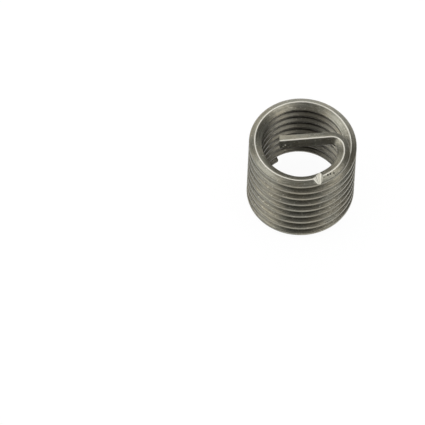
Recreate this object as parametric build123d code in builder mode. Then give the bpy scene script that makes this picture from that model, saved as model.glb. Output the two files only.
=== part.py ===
"""Helical wire thread insert with a driving tang, for an M12 x 1.5 thread.

One length of rolled diamond-section wire, coiled right-handed and shown in its free state.
Millimetres, +Z up along the insert's axis, which is the Z axis.  The insert stands on its
free end at z = 0, and the tang crosses the bore along X at the upper end.
"""
import os
from math import atan2, ceil, cos, degrees, pi, radians, sin, sqrt, tan

from build123d import *

# The coil, in its free state
pitch = 1.5
free_coils = 8.52
crest_radius = 7.32
coil_gap = 0.22

# The wire's section: a sharp ridge above and below, a narrow flat in the bore, and outside a
# crest with bevelled corners.  The sides are how far the bore and the crest lie from the ridge
# line, and the crest flat is its height before the bevels.
bore_side = 0.96
crest_side = 0.76
bore_flat = 0.30
crest_flat = 0.64
crest_bevel = 0.20

# The tang, and the wire that runs in to it from the last coil
run_in_angle = -58.0
run_in_radius = 4.12
bend_radius = 1.62
tang_reach = 3.23
tang_roll = 18.0

# The break-off notch, a V pressed into the upper side of the wire
notch_angle = -79.0
notch_depth = 0.58
notch_spread = 98.0

# The coil is made in equal steps of at most a quarter turn, wound proud and then trimmed round.
# The last half turn before the run-in is left as it is wound.
most_step_angle = 90.0
lead_angle = 180.0
trim = 0.01

# Sizes and angles worked out from those above
ridge_radius = crest_radius - crest_side
bore_radius = ridge_radius - bore_side
wire_height = pitch - coil_gap
climb = pitch / (2 * pi * ridge_radius)
coil_angle = 360 * free_coils - lead_angle
step_count = ceil(coil_angle / most_step_angle)
step_angle = coil_angle / step_count
coil_start_angle = run_in_angle - 360 * free_coils

# The run-in arc leaves the coil on a tangent, the bend leaves the run-in on a tangent, and the
# tang leaves the bend on a tangent that passes through the insert's axis
run_in_offset = ridge_radius - run_in_radius
run_in_x = run_in_offset * cos(radians(run_in_angle))
run_in_y = run_in_offset * sin(radians(run_in_angle))
bend_x = run_in_x + sqrt((run_in_radius - bend_radius) ** 2 - (run_in_y + bend_radius) ** 2)
bend_angle = degrees(atan2(-bend_radius - run_in_y, bend_x - run_in_x))


def wire_section(plane, proud=False):
    """The wire's section, the ridge line at the plane's origin and the crest along its x.

    A proud section keeps a sliver at the bore and the crest for the trimming to take off.
    """
    with BuildSketch(plane) as section:
        with BuildLine():
            Polyline(
                (-bore_side - trim, -bore_flat / 2),
                (0, -wire_height / 2),
                (crest_side + trim, -crest_flat / 2),
                (crest_side + trim, crest_flat / 2),
                (0, wire_height / 2),
                (-bore_side - trim, bore_flat / 2),
                close=True,
            )
        make_face()
        chamfer(section.vertices().group_by(Axis.X)[-1], crest_bevel)
        if not proud:
            with Locations(((crest_side - bore_side) / 2, 0)):
                Rectangle(bore_side + crest_side, 2 * wire_height, mode=Mode.INTERSECT)
    return section.sketch


def rolled(plane, roll):
    """The plane turned about its own normal."""
    return Plane(plane.location * Location((0, 0, 0), (0, 0, roll)))


def wound_wire(angle, radius, proud=False, roll=0.0):
    """Wire wound through an angle about the Z axis from the X axis, climbing as it goes.

    With a roll, the wire also turns about itself by that much on the way, crest side up.
    """
    rise = climb * radius * radians(angle)
    outward = Vector(cos(radians(angle)), sin(radians(angle)), 0)
    start = Plane((radius, 0, 0), x_dir=(1, 0, 0), z_dir=(0, -1, 0))
    end_middle = outward * radius + Vector(0, 0, rise)
    end = Plane(end_middle, x_dir=outward, z_dir=outward.cross(Vector(0, 0, 1)))
    with BuildPart() as wound:
        with BuildLine() as path:
            Helix(climb * 2 * pi * radius, rise, radius)
        if roll:
            rolled_end = wire_section(rolled(end, roll))
            sweep([wire_section(start), rolled_end], path=path.wire(), multisection=True)
        else:
            sweep(wire_section(start, proud), path=path.wire(), is_frenet=True)
    return wound.part


def placed(stretch, x, y, level, angle):
    """A stretch of wire turned about its own axis, then set at its place."""
    return stretch.moved(Location((x, y, level), (0, 0, angle)))


# The levels of the wire's middle, with the lower ridge of its free end on z = 0
coil_start_level = wire_height / 2
lead_level = coil_start_level + pitch * coil_angle / 360
run_in_level = coil_start_level + pitch * free_coils
bend_level = run_in_level + climb * run_in_radius * radians(bend_angle - run_in_angle)
tang_level = bend_level + climb * bend_radius * radians(90 - bend_angle)
notch_level = run_in_level - pitch * (run_in_angle - notch_angle) / 360

# One step of the coil, its crest and bore trimmed to true cylinders
with BuildPart() as coil_step:
    add(wound_wire(step_angle, ridge_radius, proud=True))
    with BuildSketch() as tube:
        Circle(crest_radius)
        Circle(bore_radius, mode=Mode.SUBTRACT)
    extrude(tube.sketch, amount=pitch + wire_height, both=True, mode=Mode.INTERSECT)

# The wire's stretches in order, from the free end to the sheared end of the tang
stretches = []
for number in range(step_count):
    turned = number * step_angle
    level = coil_start_level + pitch * turned / 360
    stretches.append(placed(coil_step.part, 0, 0, level, coil_start_angle + turned))

lead = wound_wire(lead_angle, ridge_radius)
stretches.append(placed(lead, 0, 0, lead_level, run_in_angle - lead_angle))

run_in = wound_wire(bend_angle - run_in_angle, run_in_radius)
stretches.append(placed(run_in, run_in_x, run_in_y, run_in_level, run_in_angle))

bend = wound_wire(90 - bend_angle, bend_radius, roll=tang_roll)
stretches.append(placed(bend, bend_x, -bend_radius, bend_level, bend_angle))

with BuildPart() as tang:
    bend_end = Plane((bend_x, 0, tang_level), x_dir=(0, 1, 0), z_dir=(1, 0, 0))
    extrude(wire_section(rolled(bend_end, tang_roll)), amount=-bend_x - tang_reach)
stretches.append(tang.part)

# The notch's V, drawn across the wire at the notch's angle, its point at the notch's floor
notch_outward = Vector(cos(radians(notch_angle)), sin(radians(notch_angle)), 0)
notch_floor = Vector(0, 0, notch_level + wire_height / 2 - notch_depth)
notch_plane = Plane(
    notch_outward * ridge_radius + notch_floor,
    x_dir=Vector(0, 0, 1).cross(notch_outward),
    z_dir=notch_outward,
)
notch_rise = 2 * notch_depth
notch_half_width = notch_rise * tan(radians(notch_spread / 2))

# The whole insert: the stretches joined, and the notch pressed across the wire
with BuildPart() as thread_insert:
    add(stretches, clean=False)
    with BuildSketch(notch_plane) as notch:
        with BuildLine():
            Polyline(
                (0, 0),
                (notch_half_width, notch_rise),
                (-notch_half_width, notch_rise),
                close=True,
            )
        make_face()
    extrude(notch.sketch, amount=wire_height, both=True, clean=False, mode=Mode.SUBTRACT)

thread_insert.part.label = "thread_insert"
os.makedirs("parts", exist_ok=True)
export_step(thread_insert.part, "parts/thread_insert.step")
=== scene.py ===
"""A helical wire thread insert with a driving tang, standing on its free end.

Metres, +Z up along the insert's axis.  The tang crosses the bore along X at the upper end.
"""
from math import atan2, cos, degrees, pi, radians, sin, sqrt, tan

import bpy
from mathutils import Matrix, Vector

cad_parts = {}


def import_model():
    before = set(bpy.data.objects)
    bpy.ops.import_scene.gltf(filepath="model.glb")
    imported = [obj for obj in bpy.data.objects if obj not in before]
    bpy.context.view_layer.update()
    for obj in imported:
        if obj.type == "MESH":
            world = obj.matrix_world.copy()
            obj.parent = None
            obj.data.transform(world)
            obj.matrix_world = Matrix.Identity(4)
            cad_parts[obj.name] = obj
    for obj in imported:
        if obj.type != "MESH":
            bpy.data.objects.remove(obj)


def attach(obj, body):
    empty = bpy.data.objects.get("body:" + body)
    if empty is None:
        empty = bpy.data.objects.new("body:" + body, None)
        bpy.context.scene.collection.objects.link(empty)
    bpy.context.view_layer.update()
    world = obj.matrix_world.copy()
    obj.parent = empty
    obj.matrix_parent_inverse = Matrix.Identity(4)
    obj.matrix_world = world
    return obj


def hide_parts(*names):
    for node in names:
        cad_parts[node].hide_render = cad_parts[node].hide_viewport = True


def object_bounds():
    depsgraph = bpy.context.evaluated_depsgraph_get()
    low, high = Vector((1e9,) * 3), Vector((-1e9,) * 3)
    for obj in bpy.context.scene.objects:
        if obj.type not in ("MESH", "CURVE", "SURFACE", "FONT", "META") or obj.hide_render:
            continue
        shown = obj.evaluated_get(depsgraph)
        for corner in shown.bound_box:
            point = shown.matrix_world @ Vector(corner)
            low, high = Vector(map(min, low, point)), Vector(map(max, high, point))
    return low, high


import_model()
cad_low, cad_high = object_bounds()

mm = 0.001

# The coil, in its free state
pitch = 1.5 * mm
free_coils = 8.52
crest_radius = (cad_high.x - cad_low.x) / 2
coil_gap = 0.22 * mm

# The wire's section
bore_side = 0.96 * mm
crest_side = 0.76 * mm
bore_flat = 0.30 * mm
crest_flat = 0.42 * mm
crest_round = 0.10 * mm
ridge_round = 0.10 * mm
bore_round = 0.05 * mm

# The tang, and the wire that runs in to it from the last coil
run_in_angle = radians(-58.0)
run_in_radius = 4.12 * mm
bend_radius = 1.62 * mm
tang_reach = 3.23 * mm
top_turn_roll = radians(4.0)
early_pull = 0.20 * mm
tang_roll = radians(18.0)
tang_twist = radians(9.0)
tang_push = 0.07 * mm

# The break-off notch, a V pressed into the upper side of the wire
notch_angle = radians(-79.0)
notch_depth = 0.58 * mm
notch_spread = radians(98.0)
notch_lean = radians(12.0)
notch_offset = 0.18 * mm
notch_turn = radians(-13.5)

# How far the wire's two cut ends are rounded over
free_end_round = 0.30 * mm
tang_end_round = 0.07 * mm

# Small dents: two near the tang's end, as (along, across) in mm, and three beside the notch, as
# (angle in degrees, across in mm)
tang_dents = [(-2.75, -0.75), (-2.48, -0.60)]
ridge_dents = [(-65.4, 0.16), (-62.2, 0.20), (-57.8, 0.36)]
tang_dent_radius = 0.09 * mm
ridge_dent_radius = 0.13 * mm

# The burrs at the notch's inner end: how far along the wire from its middle, and how tall, in mm
burr_places = [(-0.46, 0.30), (-0.05, 0.34)]

# Sizes and angles worked out from those above
ridge_radius = crest_radius - crest_side
wire_height = pitch - coil_gap
wire_width = bore_side + crest_side
climb = pitch / (2 * pi * ridge_radius)
coil_start_angle = run_in_angle - 2 * pi * free_coils
run_in_x = (ridge_radius - run_in_radius) * cos(run_in_angle)
run_in_y = (ridge_radius - run_in_radius) * sin(run_in_angle)
bend_x = run_in_x + sqrt((run_in_radius - bend_radius) ** 2 - (run_in_y + bend_radius) ** 2)
bend_angle = atan2(-bend_radius - run_in_y, bend_x - run_in_x)
coil_start_level = wire_height / 2
run_in_level = coil_start_level + pitch * free_coils
bend_level = run_in_level + climb * run_in_radius * (bend_angle - run_in_angle)
tang_level = bend_level + climb * bend_radius * (pi / 2 - bend_angle)
notch_level = run_in_level - pitch * (run_in_angle - notch_angle) / (2 * pi)
notch_heading = notch_angle + notch_turn


# Node trees

def node(tree, kind, inputs=None, **settings):
    """Adds a node, makes its settings, and sets or links its inputs."""
    made = tree.nodes.new(kind)
    for name, value in settings.items():
        setattr(made, name, value)
    for name, value in (inputs or {}).items():
        if isinstance(value, bpy.types.NodeSocket):
            tree.links.new(value, made.inputs[name])
        else:
            made.inputs[name].default_value = value
    return made


def calc(tree, operation, *values):
    """The result of one sum on numbers or sockets."""
    inputs = dict(enumerate(values))
    return node(tree, "ShaderNodeMath", inputs, operation=operation).outputs[0]


def new_tree(name, sizes):
    """An empty tree of geometry nodes with a named input for each size."""
    tree = bpy.data.node_groups.new(name, "GeometryNodeTree")
    for size in sizes:
        tree.interface.new_socket(size, in_out="INPUT", socket_type="NodeSocketFloat")
    tree.interface.new_socket("Geometry", in_out="OUTPUT", socket_type="NodeSocketGeometry")
    return tree, tree.nodes.new("NodeGroupInput").outputs


def finish_tree(tree, geometry):
    """Links the geometry to the tree's output."""
    node(tree, "NodeGroupOutput", {"Geometry": geometry})


def by_index(tree, values):
    """The value whose place in the list is the point's index."""
    switch = node(tree, "GeometryNodeIndexSwitch", data_type="FLOAT")
    while len(switch.index_switch_items) < len(values):
        switch.index_switch_items.new()
    tree.links.new(node(tree, "GeometryNodeInputIndex").outputs[0], switch.inputs["Index"])
    for place, value in enumerate(values):
        tree.links.new(value, switch.inputs[place + 1])
    return switch.outputs[0]


# The points of the wire's path are numbered along it. Each stretch starts at its number here,
# and the cut free end comes before the coil, from -1 on.
coil_number, run_in_number, bend_number, tang_number, tip_number = 0, 1, 2, 3, 4

# How finely each stretch is cut
steps_in_turn = 120
steps_in_bend = 40
steps_in_cut_end = 10
points_on_tang = 60
points_on_tip = 8

# Where the pull inwards begins, in turns before the run-in, and where on the run-in it has ended
pull_begins = 0.14
pull_has_ended = 1.9

section_sizes = {
    "Bore side": bore_side,
    "Crest side": crest_side,
    "Wire height": wire_height,
    "Bore flat": bore_flat,
    "Crest flat": crest_flat,
    "Bore round": bore_round,
    "Ridge round": ridge_round,
    "Crest round": crest_round,
}


def section_outline(tree, size):
    """The wire's section as a closed curve, the ridges on y and the crest on +x."""
    def half(name, side):
        return calc(tree, "MULTIPLY", size[name], side / 2)

    bore = calc(tree, "MULTIPLY", size["Bore side"], -1.0)
    middle = calc(tree, "MULTIPLY", size["Bore side"], 0.0)
    crest = size["Crest side"]
    across = by_index(tree, [bore, middle, crest, crest, middle, bore])
    heights = [("Bore flat", -1), ("Wire height", -1), ("Crest flat", -1)]
    heights += [("Crest flat", 1), ("Wire height", 1), ("Bore flat", 1)]
    upward = by_index(tree, [half(name, side) for name, side in heights])
    rounds = ["Bore round", "Ridge round", "Crest round"]
    rounds = rounds + rounds[::-1]
    rounding = by_index(tree, [size[name] for name in rounds])
    corners = node(tree, "GeometryNodeCurvePrimitiveCircle", {"Resolution": 6, "Radius": mm})
    place = node(tree, "ShaderNodeCombineXYZ", {"X": across, "Y": upward})
    shaped = node(
        tree, "GeometryNodeSetPosition",
        {"Geometry": corners.outputs["Curve"], "Position": place.outputs[0]},
    )
    rounded = node(
        tree, "GeometryNodeFilletCurve",
        {"Curve": shaped.outputs[0], "Radius": rounding, "Count": 6}, mode="POLY",
    )
    here = node(tree, "GeometryNodeInputPosition").outputs[0]
    upright = node(
        tree, "ShaderNodeVectorMath", {0: here, 1: (1.0, -1.0, 1.0)}, operation="MULTIPLY"
    ).outputs[0]
    return stored(tree, rounded.outputs[0], "section", upright, "FLOAT_VECTOR")


def stored(tree, geometry, name, value, data_type="FLOAT", domain="POINT"):
    """Keeps a value on every point, corner or face under a name."""
    keep = node(
        tree, "GeometryNodeStoreNamedAttribute",
        {"Geometry": geometry, "Name": name, "Value": value}, data_type=data_type, domain=domain,
    )
    return keep.outputs[0]


def named(tree, name, data_type="FLOAT"):
    """A value kept under a name."""
    return node(
        tree, "GeometryNodeInputNamedAttribute", {"Name": name}, data_type=data_type
    ).outputs[0]


def stretch(tree, number, curve, place, turn, last=False):
    """A stretch of the wire's path put in its place, its points numbered from its number on."""
    moved = node(
        tree, "GeometryNodeTransform",
        {"Geometry": curve, "Translation": place, "Rotation": (0.0, 0.0, turn)},
    ).outputs[0]
    factor = node(tree, "GeometryNodeSplineParameter").outputs["Factor"]
    moved = stored(tree, moved, "order", calc(tree, "ADD", factor, number))
    if last:
        return moved
    end = calc(tree, "GREATER_THAN", named(tree, "order"), number + 0.99999)
    return node(
        tree, "GeometryNodeDeleteGeometry", {"Geometry": moved, "Selection": end}, domain="POINT"
    ).outputs[0]


def spiral(tree, radius, turn, rise, steps):
    """A helix from the X axis, counterclockwise."""
    turns = turn / (2 * pi)
    made = node(
        tree, "GeometryNodeCurveSpiral",
        {
            "Resolution": round(steps / turns), "Rotations": turns,
            "Start Radius": radius, "End Radius": radius, "Height": rise, "Reverse": True,
        },
    )
    return made.outputs[0]


def straight(tree, start, end, count):
    """A straight line along the X axis, in equal steps."""
    line = node(
        tree, "GeometryNodeCurvePrimitiveLine",
        {"Start": (start, 0.0, 0.0), "End": (end, 0.0, 0.0)},
    )
    return node(
        tree, "GeometryNodeResampleCurve", {"Curve": line.outputs[0], "Count": count}
    ).outputs[0]


def wire_path(tree):
    """The line of the wire from its free end to the end of the tang, as one curve."""
    cut_turn = free_end_round / ridge_radius
    cut_rise = pitch * cut_turn / (2 * pi)
    cut_end = spiral(tree, ridge_radius, cut_turn, cut_rise, steps_in_cut_end)
    coil_turn = 2 * pi * free_coils - cut_turn
    coil_rise = pitch * free_coils - cut_rise
    coil = spiral(tree, ridge_radius, coil_turn, coil_rise, steps_in_turn * free_coils)
    run_in_turn = bend_angle - run_in_angle
    run_in = spiral(tree, run_in_radius, run_in_turn, bend_level - run_in_level, steps_in_bend)
    bend_turn = pi / 2 - bend_angle
    bend = spiral(tree, bend_radius, bend_turn, tang_level - bend_level, steps_in_bend)
    tang = straight(tree, bend_x, tang_end_round - tang_reach, points_on_tang)
    sheared_end = straight(tree, tang_end_round - tang_reach, -tang_reach, points_on_tip)
    on_axis = (0.0, 0.0, coil_start_level)
    past_cut = (0.0, 0.0, coil_start_level + cut_rise)
    stretches = [
        stretch(tree, coil_number - 1, cut_end, on_axis, coil_start_angle),
        stretch(tree, coil_number, coil, past_cut, coil_start_angle + cut_turn),
        stretch(tree, run_in_number, run_in, (run_in_x, run_in_y, run_in_level), run_in_angle),
        stretch(tree, bend_number, bend, (bend_x, -bend_radius, bend_level), bend_angle),
        stretch(tree, tang_number, tang, (0.0, 0.0, tang_level), 0.0),
        stretch(tree, tip_number, sheared_end, (0.0, 0.0, tang_level), 0.0, last=True),
    ]
    joined = node(tree, "GeometryNodeJoinGeometry")
    for part in stretches:
        tree.links.new(part, joined.inputs[0])
    points = node(
        tree, "GeometryNodeCurveToPoints", {"Curve": joined.outputs[0]}, mode="EVALUATED"
    )
    path = node(
        tree, "GeometryNodePointsToCurves",
        {"Points": points.outputs["Points"], "Weight": named(tree, "order")},
    )
    along = node(tree, "GeometryNodeSplineParameter").outputs["Length"]
    return stored(tree, path.outputs[0], "along", along)


def set_over(tree, path):
    """The path drawn in where the last coil meets the run-in, and set back along the tang."""
    order = named(tree, "order")
    begins = smooth(tree, order, run_in_number - pull_begins / free_coils, run_in_number)
    ends = calc(tree, "SUBTRACT", 1.0, smooth(tree, order, run_in_number, pull_has_ended))
    share = calc(tree, "MULTIPLY", begins, ends)
    here = node(tree, "GeometryNodeInputPosition").outputs[0]
    level = node(
        tree, "ShaderNodeVectorMath", {0: here, 1: (1.0, 1.0, 0.0)}, operation="MULTIPLY"
    ).outputs[0]
    outward = node(tree, "ShaderNodeVectorMath", {0: level}, operation="NORMALIZE").outputs[0]
    inward = node(
        tree, "ShaderNodeVectorMath",
        {0: outward, "Scale": calc(tree, "MULTIPLY", share, -early_pull)}, operation="SCALE",
    ).outputs[0]
    push = calc(
        tree, "ADD",
        ramp(tree, order, bend_number, tang_number, tang_push),
        ramp(tree, order, tang_number, tip_number, tang_push),
    )
    back = node(tree, "ShaderNodeCombineXYZ", {"Y": push}).outputs[0]
    offset = node(tree, "ShaderNodeVectorMath", {0: inward, 1: back}, operation="ADD").outputs[0]
    return node(
        tree, "GeometryNodeSetPosition", {"Geometry": path, "Offset": offset}
    ).outputs[0]


def ramp(tree, value, low, high, most):
    """Nothing below the low value, rising to the most at the high one."""
    made = node(
        tree, "ShaderNodeMapRange",
        {"Value": value, "From Min": low, "From Max": high, "To Min": 0.0, "To Max": most},
    )
    return made.outputs[0]


def rolled(tree, path):
    """The path with the wire's roll about itself, in the top turn, the bend and the tang."""
    order = named(tree, "order")
    top_turn = ramp(tree, order, run_in_number - 1 / free_coils, run_in_number, top_turn_roll)
    bend = ramp(tree, order, bend_number, tang_number, tang_roll - top_turn_roll)
    tang = ramp(tree, order, tang_number, tip_number, tang_twist)
    roll = calc(tree, "ADD", calc(tree, "ADD", top_turn, bend), tang)
    tilt = calc(tree, "MULTIPLY", roll, -1.0)
    upright = node(tree, "GeometryNodeSetCurveNormal", {"Curve": path}, mode="Z_UP")
    return node(
        tree, "GeometryNodeSetCurveTilt", {"Curve": upright.outputs[0], "Tilt": tilt}
    ).outputs[0]


def drawn_in(tree, size):
    """How much of its full section the wire has, which is less only where an end rounds over."""
    order = named(tree, "order")
    insets = []
    for past, reach in ((calc(tree, "MULTIPLY", order, -1.0), free_end_round),
                        (calc(tree, "SUBTRACT", order, tip_number), tang_end_round)):
        share = ramp(tree, past, 0.0, 1.0, 1.0)
        squared = calc(tree, "MULTIPLY", share, share)
        upright = calc(tree, "SQRT", calc(tree, "SUBTRACT", 1.0, squared))
        insets.append(calc(tree, "MULTIPLY", calc(tree, "SUBTRACT", 1.0, upright), reach))
    inset = calc(tree, "ADD", *insets)
    return calc(tree, "SUBTRACT", 1.0, calc(tree, "DIVIDE", inset, size["Bore side"]))


def covered(tree, geometry, material):
    """Geometry with a material all over."""
    return node(
        tree, "GeometryNodeSetMaterial", {"Geometry": geometry, "Material": material}
    ).outputs[0]


def notch_end():
    """Where the notch's floor comes out at the crest, at the level of the wire's middle."""
    outward = Vector((cos(notch_angle), sin(notch_angle), 0))
    along = Vector((-sin(notch_angle), cos(notch_angle), 0))
    return outward * crest_radius + along * notch_offset + Vector((0, 0, notch_level))


def at_notch(tree, geometry, rise):
    """Geometry put where the notch's floor comes out, its X axis along that floor."""
    return node(
        tree, "GeometryNodeTransform",
        {
            "Geometry": geometry, "Translation": notch_end() + Vector((0, 0, rise)),
            "Rotation": (0.0, 0.0, notch_heading),
        },
    ).outputs[0]


def notch_tool(tree, material):
    """A wedge that leans a little, its lowest line at the notch's floor."""
    bar = node(tree, "GeometryNodeMeshCube", {"Size": (4 * wire_height, 2 * mm, 2 * mm)})
    on_edge = node(
        tree, "GeometryNodeTransform",
        {"Geometry": bar.outputs["Mesh"], "Rotation": (radians(45), 0.0, 0.0)},
    )
    spread = node(
        tree, "GeometryNodeTransform",
        {"Geometry": on_edge.outputs[0], "Scale": (1.0, tan(notch_spread / 2), 1.0)},
    )
    raised = node(
        tree, "GeometryNodeTransform",
        {"Geometry": spread.outputs[0], "Translation": (0.0, 0.0, sqrt(2) * mm)},
    )
    leaning = node(
        tree, "GeometryNodeTransform",
        {"Geometry": raised.outputs[0], "Rotation": (notch_lean, 0.0, 0.0)},
    )
    edge = covered(tree, leaning.outputs[0], material)
    return at_notch(tree, edge, wire_height / 2 - notch_depth)


def balls(tree, places, radius):
    """A small ball at each place."""
    joined = node(tree, "GeometryNodeJoinGeometry")
    for place in places:
        ball = node(tree, "GeometryNodeMeshIcoSphere", {"Radius": radius, "Subdivisions": 3})
        moved = node(
            tree, "GeometryNodeTransform",
            {"Geometry": ball.outputs["Mesh"], "Translation": place},
        )
        tree.links.new(moved.outputs[0], joined.inputs[0])
    return joined.outputs[0]


def dent_tools(tree, bright):
    """Balls where the wire is dented: by the notch they take the grooves' painted shade, on the
    tang the bright pressed colour as a painted highlight.
    """
    slope = (wire_height - crest_flat) / (2 * crest_side)
    beside_notch = []
    for angle, across in ridge_dents:
        outward = Vector((cos(radians(angle)), sin(radians(angle)), 0))
        level = run_in_level - pitch * (degrees(run_in_angle) - angle) / 360
        place = outward * (ridge_radius - early_pull + across * mm)
        place.z = level + wire_height / 2 - slope * across * mm
        beside_notch.append(place)
    slope = (wire_height - bore_flat) / (2 * bore_side)
    on_tang = []
    for along, across in tang_dents:
        share = (bend_x - along * mm) / (bend_x + tang_reach)
        roll = Matrix.Rotation(tang_roll + tang_twist * share, 3, "X")
        place = roll @ Vector((0, across * mm, wire_height / 2 + slope * across * mm))
        on_tang.append(place + Vector((along * mm, tang_push * (1 + share), tang_level)))
    # Painted highlight: the dents on the tang take the bright pressed colour
    highlight_dent_balls = covered(tree, balls(tree, on_tang, tang_dent_radius), bright)
    # Painted shade: the dents by the notch are set in the grooves' painted shade
    groove_shade_place = Vector((0.2, 0.3, 0)) * mm
    shaded_dent_balls = balls(tree, beside_notch, ridge_dent_radius)
    shaded_dent_balls = stored(tree, shaded_dent_balls, "section", groove_shade_place, "FLOAT_VECTOR", domain="CORNER")
    return stored(tree, shaded_dent_balls, "order", 0.5, domain="CORNER"), highlight_dent_balls


def burrs(tree):
    """Two slivers standing at the notch's inner end. They are closed, and overlap the wire."""
    joined = node(tree, "GeometryNodeJoinGeometry")
    for sideways, height in burr_places:
        sliver = node(
            tree, "GeometryNodeMeshCone",
            {
                "Vertices": 12, "Side Segments": 3, "Radius Top": 0.01 * mm,
                "Radius Bottom": 0.06 * mm, "Depth": height * mm,
            },
        )
        moved = node(
            tree, "GeometryNodeTransform",
            {
                "Geometry": sliver.outputs["Mesh"], "Rotation": (0.0, radians(-35), 0.0),
                "Translation": (-wire_width + 0.04 * mm, sideways * mm, bore_flat / 2 - 0.06 * mm),
            },
        )
        tree.links.new(moved.outputs[0], joined.inputs[0])
    return at_notch(tree, joined.outputs[0], 0.0)


def on_corners(tree, geometry, name, data_type="FLOAT"):
    """Moves a value from the points to the faces' corners, where a cut carries it along."""
    value = named(tree, name, data_type)
    return stored(tree, geometry, name, value, data_type, domain="CORNER")


def coil_tree(wire_material, notch_material):
    """The tree that makes the whole wire."""
    tree, size = new_tree("coiled_wire", section_sizes)
    path = rolled(tree, set_over(tree, wire_path(tree)))
    outline = section_outline(tree, size)
    wire = node(
        tree, "GeometryNodeCurveToMesh",
        {
            "Curve": path, "Profile Curve": outline,
            "Scale": drawn_in(tree, size), "Fill Caps": True,
        },
    ).outputs[0]
    for name, data_type in (("section", "FLOAT_VECTOR"), ("along", "FLOAT"), ("order", "FLOAT")):
        wire = on_corners(tree, wire, name, data_type)
    notched = node(
        tree, "GeometryNodeMeshBoolean", {"Mesh 1": wire},
        operation="DIFFERENCE", solver="MANIFOLD",
    )
    for tool in (notch_tool(tree, notch_material), *dent_tools(tree, notch_material)):
        tree.links.new(tool, notched.inputs["Mesh 2"])
    pressed = node(tree, "GeometryNodeMaterialSelection", {"Material": notch_material}).outputs[0]
    unpressed = node(tree, "FunctionNodeBooleanMath", {0: pressed}, operation="NOT").outputs[0]
    drawn = node(
        tree, "GeometryNodeSetMaterial",
        {"Geometry": notched.outputs[0], "Selection": unpressed, "Material": wire_material},
    )
    whole = node(tree, "GeometryNodeJoinGeometry")
    for part in (covered(tree, burrs(tree), notch_material), drawn.outputs[0]):
        tree.links.new(part, whole.inputs[0])
    finished = node(tree, "GeometryNodeRealizeInstances", {"Geometry": whole.outputs[0]})
    finish_tree(tree, finished.outputs[0])
    return tree


def plain_mesh(holder, name):
    """A new object with the holder's evaluated mesh, and the holder gone."""
    graph = bpy.context.evaluated_depsgraph_get()
    mesh = bpy.data.meshes.new_from_object(
        holder.evaluated_get(graph), preserve_all_data_layers=True, depsgraph=graph
    )
    bpy.data.objects.remove(holder)
    for slot in reversed(range(len(mesh.materials))):
        if mesh.materials[slot] is None:
            mesh.materials.pop(index=slot)
    made = bpy.data.objects.new(name, mesh)
    bpy.context.scene.collection.objects.link(made)
    mesh.polygons.foreach_set("use_smooth", [True] * len(mesh.polygons))
    mesh.set_sharp_from_angle(angle=radians(35))
    return made


def coiled_wire(wire_material, notch_material):
    """The insert's wire."""
    holder = bpy.data.objects.new("wire_holder", bpy.data.meshes.new("wire_holder"))
    bpy.context.scene.collection.objects.link(holder)
    modifier = holder.modifiers.new("coiled_wire", "NODES")
    tree = coil_tree(wire_material, notch_material)
    modifier.node_group = tree
    for item in tree.interface.items_tree:
        if item.name in section_sizes:
            modifier[item.identifier] = section_sizes[item.name]
    return plain_mesh(holder, "coiled_wire")


# Materials

def new_material(name):
    """A material with only its principled shader and its output."""
    material = bpy.data.materials.new(name)
    material.use_nodes = True
    tree = material.node_tree
    return material, tree, tree.nodes["Principled BSDF"]


def attribute(tree, name):
    """The outputs of a value kept on the piece's points."""
    return node(tree, "ShaderNodeAttribute", attribute_name=name).outputs


def smooth(tree, value, low, high):
    """Nothing below the low value and one above the high one, with soft ends."""
    made = node(
        tree, "ShaderNodeMapRange",
        {"Value": value, "From Min": low, "From Max": high, "To Min": 0.0, "To Max": 1.0},
        interpolation_type="SMOOTHSTEP",
    )
    return made.outputs[0]


def noise(tree, vector, scale, detail=2.0, roughness=0.5):
    """Noise about one half."""
    made = node(
        tree, "ShaderNodeTexNoise",
        {"Vector": vector, "Scale": scale, "Detail": detail, "Roughness": roughness},
    )
    return made.outputs["Fac"]


def mixed_colour(tree, factor, first, second):
    """The first colour, going to the second as the factor goes to one."""
    made = node(tree, "ShaderNodeMix", {"Factor": factor}, data_type="RGBA")
    for socket, value in ((made.inputs[6], first), (made.inputs[7], second)):
        if isinstance(value, bpy.types.NodeSocket):
            tree.links.new(value, socket)
        else:
            socket.default_value = (*value, 1.0)
    return made.outputs[2]


def between(tree, factor, low, high):
    """The low value, going to the high one as the factor goes to one."""
    return node(
        tree, "ShaderNodeMapRange", {"Value": factor, "To Min": low, "To Max": high}
    ).outputs[0]


def drawn_lines(tree, across_scale, along_scale):
    """Noise drawn out along the wire."""
    section = attribute(tree, "section")["Vector"]
    along = attribute(tree, "along")["Fac"]
    place = node(tree, "ShaderNodeSeparateXYZ", {"Vector": section}).outputs
    stretched = node(
        tree, "ShaderNodeCombineXYZ",
        {
            "X": calc(tree, "MULTIPLY", along, along_scale),
            "Y": calc(tree, "MULTIPLY", place["X"], across_scale),
            "Z": calc(tree, "MULTIPLY", place["Y"], across_scale),
        },
    ).outputs[0]
    return noise(tree, stretched, 1.0, 3.0, 0.6)


# The painted shade in the grooves, a dark colour where shade falls between the turns: how far
# from the ridges it starts to fade and is gone on each side, how strong it is outside and in the
# bore, and what share of that a lower side has
groove_shade_on_bore_side = (0.47 * mm, 0.65 * mm)
groove_shade_on_crest_side = (0.50 * mm, 0.67 * mm)
groove_shade_outside, groove_shade_in_bore = 0.45, 0.60
groove_shade_on_lower_side = 0.35
groove_shade_colour = (0.012, 0.011, 0.009)

cool_steel, warm_steel = (0.28, 0.275, 0.23), (0.325, 0.30, 0.23)
line_colour = (0.42, 0.40, 0.33)
dull_colour = (0.13, 0.125, 0.10)
speck_colour = (0.14, 0.13, 0.11)
streak_colour = (0.15, 0.145, 0.12)
glint_colour = (0.50, 0.48, 0.40)
crest_shade_colour = (0.16, 0.15, 0.12)
bore_shade_colour = (0.10, 0.09, 0.075)
ridge_wear_and_highlight_colour = (0.70, 0.68, 0.60)
wall_and_highlight_colour, mark_colour = (0.80, 0.78, 0.70), (0.28, 0.27, 0.22)


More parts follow.
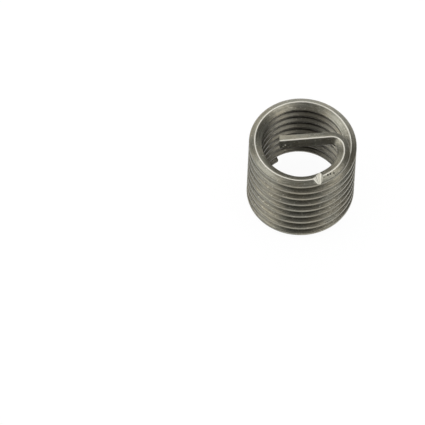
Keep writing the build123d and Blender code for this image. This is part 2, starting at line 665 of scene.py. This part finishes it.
def wire_zones(tree):
    """How far each point is on an open ridge, in a groove, on the bore side, and on the crest."""
    section = attribute(tree, "section")["Vector"]
    order = attribute(tree, "order")["Fac"]
    place = node(tree, "ShaderNodeSeparateXYZ", {"Vector": section}).outputs
    one_turn = 1 / free_coils
    upper = smooth(tree, place["Y"], -0.02 * mm, 0.02 * mm)
    last_turn = smooth(tree, order, 1 - 1.02 * one_turn, 1 - 0.98 * one_turn)
    above = calc(tree, "MULTIPLY", last_turn, upper)
    later = smooth(tree, order, 0.98 * one_turn, 1.02 * one_turn)
    below = calc(tree, "SUBTRACT", 1.0, calc(tree, "MAXIMUM", later, upper))
    free_wire = smooth(tree, order, 1.0, 1.2)
    open_side = calc(tree, "MAXIMUM", calc(tree, "MAXIMUM", above, below), free_wire)
    sideways = calc(tree, "ABSOLUTE", place["X"])
    near_ridge = calc(tree, "SUBTRACT", 1.0, smooth(tree, sideways, 0.05 * mm, 0.12 * mm))
    ridge = calc(tree, "MULTIPLY", near_ridge, open_side)
    bore_part = calc(tree, "MULTIPLY", place["X"], -1.0)
    # The grooves' painted shade fades out this far from the ridges, and is weaker on lower sides
    past_bore = smooth(tree, bore_part, *groove_shade_on_bore_side)
    past_crest = smooth(tree, place["X"], *groove_shade_on_crest_side)
    shallow = calc(tree, "MAXIMUM", calc(tree, "MAXIMUM", past_bore, past_crest), open_side)
    groove = calc(tree, "SUBTRACT", 1.0, shallow)
    inside = calc(tree, "SUBTRACT", 1.0, smooth(tree, place["X"], -0.1 * mm, 0.1 * mm))
    bore = calc(tree, "MULTIPLY", inside, calc(tree, "SUBTRACT", 1.0, open_side))
    groove = calc(tree, "MULTIPLY", groove, between(tree, upper, groove_shade_on_lower_side, 1.0))
    crest = smooth(tree, place["X"], 0.66 * mm, 0.74 * mm)
    return ridge, groove, bore, crest


def drawn_steel():
    """Satin stainless wire with fine lines along it; painted highlight and wear on open ridges,
    painted shade in grooves, bore and crest.
    """
    material, tree, shader = new_material("drawn_steel")
    ridge, groove, bore, crest = wire_zones(tree)
    lines = drawn_lines(tree, 14 / mm, 0.25 / mm)
    grain = drawn_lines(tree, 6 / mm, 1.2 / mm)
    here = node(tree, "ShaderNodeTexCoord").outputs["Object"]
    patches = noise(tree, here, 0.35 / mm, 3.0)
    specks = noise(tree, here, 9.0 / mm, 2.0)
    glints = noise(tree, here, 4.0 / mm, 2.0)
    streaks = drawn_lines(tree, 3.5 / mm, 0.10 / mm)
    colour = mixed_colour(tree, smooth(tree, patches, 0.35, 0.65), cool_steel, warm_steel)
    colour = mixed_colour(tree, smooth(tree, lines, 0.45, 0.75), colour, line_colour)
    dull = calc(tree, "MULTIPLY", smooth(tree, grain, 0.45, 0.70), 0.5)
    colour = mixed_colour(tree, dull, colour, dull_colour)
    colour = mixed_colour(tree, smooth(tree, specks, 0.60, 0.72), colour, speck_colour)
    streaked = calc(tree, "MULTIPLY", smooth(tree, streaks, 0.48, 0.62), 0.4)
    colour = mixed_colour(tree, streaked, colour, streak_colour)
    colour = mixed_colour(tree, smooth(tree, glints, 0.60, 0.72), colour, glint_colour)
    # Painted shade: the crest a little darker
    colour = mixed_colour(tree, calc(tree, "MULTIPLY", crest, 0.2), colour, crest_shade_colour)
    # Painted shade: the bore side of the enclosed turns darker, where shade falls inside the coil
    bore_shaded = calc(tree, "MULTIPLY", bore, 0.45)
    colour = mixed_colour(tree, bore_shaded, colour, bore_shade_colour)
    # Painted shade: the grooves between the turns darkened, more in the bore and less on lower
    # sides
    groove_shaded = calc(tree, "MULTIPLY", groove, between(tree, bore, groove_shade_outside, groove_shade_in_bore))
    colour = mixed_colour(tree, groove_shaded, colour, groove_shade_colour)
    # Painted highlight, partly burnished wear: the open ridges lighter and less metallic, so they
    # shine all round
    colour = mixed_colour(tree, calc(tree, "MULTIPLY", ridge, 0.9), colour, ridge_wear_and_highlight_colour)
    tree.links.new(colour, shader.inputs["Base Color"])
    metal = calc(tree, "SUBTRACT", 1.0, calc(tree, "MULTIPLY", ridge, 0.6))
    tree.links.new(metal, shader.inputs["Metallic"])
    tree.links.new(between(tree, lines, 0.26, 0.46), shader.inputs["Roughness"])
    height = calc(tree, "ADD", lines, calc(tree, "MULTIPLY", grain, 0.8))
    bump = node(tree, "ShaderNodeBump", {"Height": height, "Strength": 0.5, "Distance": 0.01 * mm})
    tree.links.new(bump.outputs[0], shader.inputs["Normal"])
    return material


def pressed_steel_with_highlight():
    """The notch's walls: brighter than the wire, partly from pressing and partly a painted
    highlight, with marks that fan out from its outer end.
    """
    material, tree, shader = new_material("pressed_steel_with_highlight")
    here = node(tree, "ShaderNodeTexCoord").outputs["Object"]
    turned = node(
        tree, "ShaderNodeMapping",
        {"Vector": here, "Location": notch_end(), "Rotation": (0.0, 0.0, notch_heading)},
        vector_type="TEXTURE",
    ).outputs[0]
    place = node(tree, "ShaderNodeSeparateXYZ", {"Vector": turned}).outputs
    inward = calc(tree, "MULTIPLY", place["X"], -1.0)
    fan = calc(tree, "DIVIDE", place["Y"], calc(tree, "ADD", inward, 0.3 * mm))
    spoke = node(tree, "ShaderNodeCombineXYZ", {"X": fan}).outputs[0]
    marks = noise(tree, spoke, 7.0, 2.0)
    # Painted highlight, partly the pressed finish: a light, barely metallic wall colour
    colour = mixed_colour(tree, smooth(tree, marks, 0.44, 0.56), wall_and_highlight_colour, mark_colour)
    tree.links.new(colour, shader.inputs["Base Color"])
    shader.inputs["Metallic"].default_value = 0.15
    shader.inputs["Roughness"].default_value = 0.35
    bump = node(tree, "ShaderNodeBump", {"Height": marks, "Strength": 0.6, "Distance": 0.02 * mm})
    tree.links.new(bump.outputs[0], shader.inputs["Normal"])
    return material


# The setting

table_reach = 3.0
table_grey = 0.9
shadow_share = 0.05
ceiling_grey = 0.09
shade_card_colour = (0.10, 0.10, 0.09, 1.0)
card_level = 0.05 * mm
lens_length = 800.0


def floor():
    """A white table top that keeps the insert's shadow."""
    mesh = bpy.data.meshes.new("table_top")
    reach = table_reach
    mesh.from_pydata(
        [(-reach, -reach, 0), (reach, -reach, 0), (reach, reach, 0), (-reach, reach, 0)],
        [], [(0, 1, 2, 3)],
    )
    top = bpy.data.objects.new("table_top", mesh)
    bpy.context.scene.collection.objects.link(top)
    material, tree, shader = new_material("white_table")
    shader.inputs["Base Color"].default_value = (table_grey, table_grey, table_grey, 1.0)
    shader.inputs["Roughness"].default_value = 0.9
    seen = seen_rays(tree)
    white = node(tree, "ShaderNodeEmission", {"Color": (1, 1, 1, 1), "Strength": 1.0})
    share = calc(tree, "MULTIPLY", seen, 1 - shadow_share)
    mixed = node(
        tree, "ShaderNodeMixShader",
        {0: share, 1: shader.outputs[0], 2: white.outputs[0]},
    )
    tree.links.new(mixed.outputs[0], tree.nodes["Material Output"].inputs["Surface"])
    mesh.materials.append(material)


def seen_rays(tree):
    """One for rays that the eye follows, straight or by way of metal or glass."""
    rays = node(tree, "ShaderNodeLightPath").outputs
    seen = calc(tree, "MAXIMUM", rays["Is Camera Ray"], rays["Is Glossy Ray"])
    return calc(tree, "MAXIMUM", seen, rays["Is Transmission Ray"])


def world():
    """A white room. In what the metal reflects its ceiling is dark, and lowest at the front."""
    made = bpy.data.worlds.new("white_room")
    bpy.context.scene.world = made
    made.use_nodes = True
    tree = made.node_tree
    toward = node(tree, "ShaderNodeTexCoord").outputs["Generated"]
    slant = Vector((0, 0, 1)) - 0.25 * direction(90, 0)
    height = node(
        tree, "ShaderNodeVectorMath", {0: toward, 1: slant}, operation="DOT_PRODUCT"
    ).outputs["Value"]
    ceiling = calc(tree, "MULTIPLY", seen_rays(tree), smooth(tree, height, 0.0, 0.25))
    colour = mixed_colour(tree, ceiling, (1.0, 1.0, 1.0), (ceiling_grey,) * 3)
    tree.links.new(colour, tree.nodes["Background"].inputs["Color"])


def direction(azimuth, elevation):
    """A unit vector; azimuth 0 is to the camera's right and 90 away from the camera."""
    angle = radians(azimuth) - camera_turn
    level = cos(radians(elevation))
    return Vector((level * cos(angle), level * sin(angle), sin(radians(elevation))))


def shade_card(name, centre, reach):
    """A dark card low over the table, which only the metal sees: painted shade for the table in
    reflections.
    """
    mesh = bpy.data.meshes.new(name)
    corners = [(-1, -1), (1, -1), (1, 1), (-1, 1)]
    across, away = direction(0, 0), direction(90, 0)
    mesh.from_pydata(
        [
            across * (centre[0] + reach[0] * x) + away * (centre[1] + reach[1] * y)
            + Vector((0, 0, card_level))
            for x, y in corners
        ],
        [], [(0, 1, 2, 3)],
    )
    made = bpy.data.objects.new(name, mesh)
    bpy.context.scene.collection.objects.link(made)
    made.visible_camera = False
    made.visible_diffuse = False
    made.visible_shadow = False
    material, _, shader = new_material(name)
    shader.inputs["Base Color"].default_value = shade_card_colour
    shader.inputs["Roughness"].default_value = 1.0
    mesh.materials.append(material)


def softbox(name, azimuth, elevation, distance, width, height, radiance):
    """A soft lamp that faces the insert."""
    lamp = bpy.data.lights.new(name, "AREA")
    lamp.shape = "RECTANGLE"
    lamp.size = width
    lamp.size_y = height
    lamp.energy = radiance * pi * width * height
    made = bpy.data.objects.new(name, lamp)
    bpy.context.scene.collection.objects.link(made)
    away = direction(azimuth, elevation)
    made.rotation_euler = away.to_track_quat("Z", "Y").to_euler()
    made.location = middle + away * distance


def camera():
    """A long lens, looking down on the insert from the front."""
    lens = bpy.data.cameras.new("camera")
    made = bpy.data.objects.new("camera", lens)
    bpy.context.scene.collection.objects.link(made)
    lens.lens = lens_length
    lens.clip_start = 0.01
    lens.clip_end = 10.0
    back = direction(-90, camera_elevation)
    right = Vector((cos(camera_turn), -sin(camera_turn), 0))
    up = back.cross(right)
    across = right * cos(camera_roll) + up * sin(camera_roll)
    upward = up * cos(camera_roll) - right * sin(camera_roll)
    distance = frame_width * lens.lens / lens.sensor_width
    place = ring_centre + back * distance
    aim = ring_centre - across * off_centre[0] - upward * off_centre[1]
    toward = (place - aim).normalized()
    side = upward.cross(toward).normalized()
    head = toward.cross(side)
    turned = Matrix((side, head, toward)).transposed().to_4x4()
    made.matrix_world = Matrix.Translation(place) @ turned
    bpy.context.scene.camera = made


# The camera, turned about the insert, looking down on it, and turned about its own line of sight
camera_turn = radians(9.1)
camera_elevation = 57.8
camera_roll = radians(3.3)
ring_centre = Vector((0, 0, notch_level + wire_height / 2))
middle = (cad_low + cad_high) / 2

# How much the frame takes in, and how far right and up of its middle the ring's centre stands
frame_width = 57.5 * mm
off_centre = (12.26 * mm, 9.92 * mm)

floor()
world()
# Painted shade: a dark card in the bore stands in for the shaded table there, as the metal sees it
shade_card("bore_shade_card", (0.0, 0.0), (3.8 * mm, 3.8 * mm))
lamp_distance = 0.45
for name, azimuth, elevation, width, height, radiance in (
    ("back_softbox", 90, 52, 0.30, 0.12, 2.2),
    ("left_softbox", 189, 50, 0.34, 0.20, 2.3),
    ("right_softbox", -20, 57, 0.20, 0.16, 2.4),
    ("top_softbox", -90, 70, 0.14, 0.14, 0.4),
    ("low_softbox", 130, 27, 0.20, 0.12, 1.2),
):
    softbox(name, azimuth, elevation, lamp_distance, width, height, radiance)
camera()

wire = coiled_wire(drawn_steel(), pressed_steel_with_highlight())
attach(wire, "root")
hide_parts("thread_insert")

bpy.context.scene.view_settings.view_transform = "Standard"
